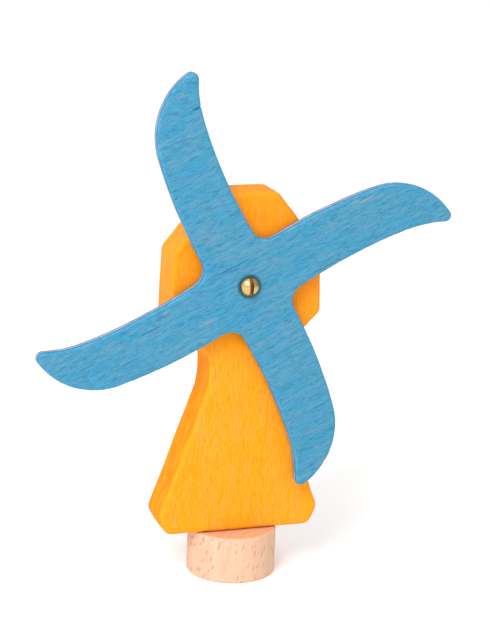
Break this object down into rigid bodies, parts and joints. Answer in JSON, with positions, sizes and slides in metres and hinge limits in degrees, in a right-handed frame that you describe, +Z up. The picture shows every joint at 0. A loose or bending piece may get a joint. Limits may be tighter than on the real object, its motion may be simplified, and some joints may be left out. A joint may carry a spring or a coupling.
{
  "type": "plug-in windmill figure",
  "caption": "Flat wooden windmill on a round plug, with a cross of hooked plywood sails that turns freely on a brass screw.",
  "frame": {"origin": "centre of the plug's flat underside", "axes": "+Z up along the tower, -Y towards the front where the sails turn, +X to the right as seen from the front"},
  "size_m": [0.07, 0.0151, 0.0862],
  "materials": {
    "stained_limewood": "matt yellow-orange stain",
    "stained_plywood": "matt blue stain",
    "brass": "polished",
    "beech": "bare sanded"
  },
  "bodies": {
    "tower": {"mill_tower": "stained_limewood", "base_plug": "beech", "joint_dowel": "beech", "pivot_screw": "brass", "spacer_washer": "brass"},
    "sails": {"sail_cross": "stained_plywood"}
  },
  "joints": [
    {"name": "sail_spin", "type": "hinge", "parent": "tower", "child": "sails", "pos_m": [-0.0004, -0.00528, 0.0512], "axis": [0, -1, 0], "continuous": true}
  ]
}
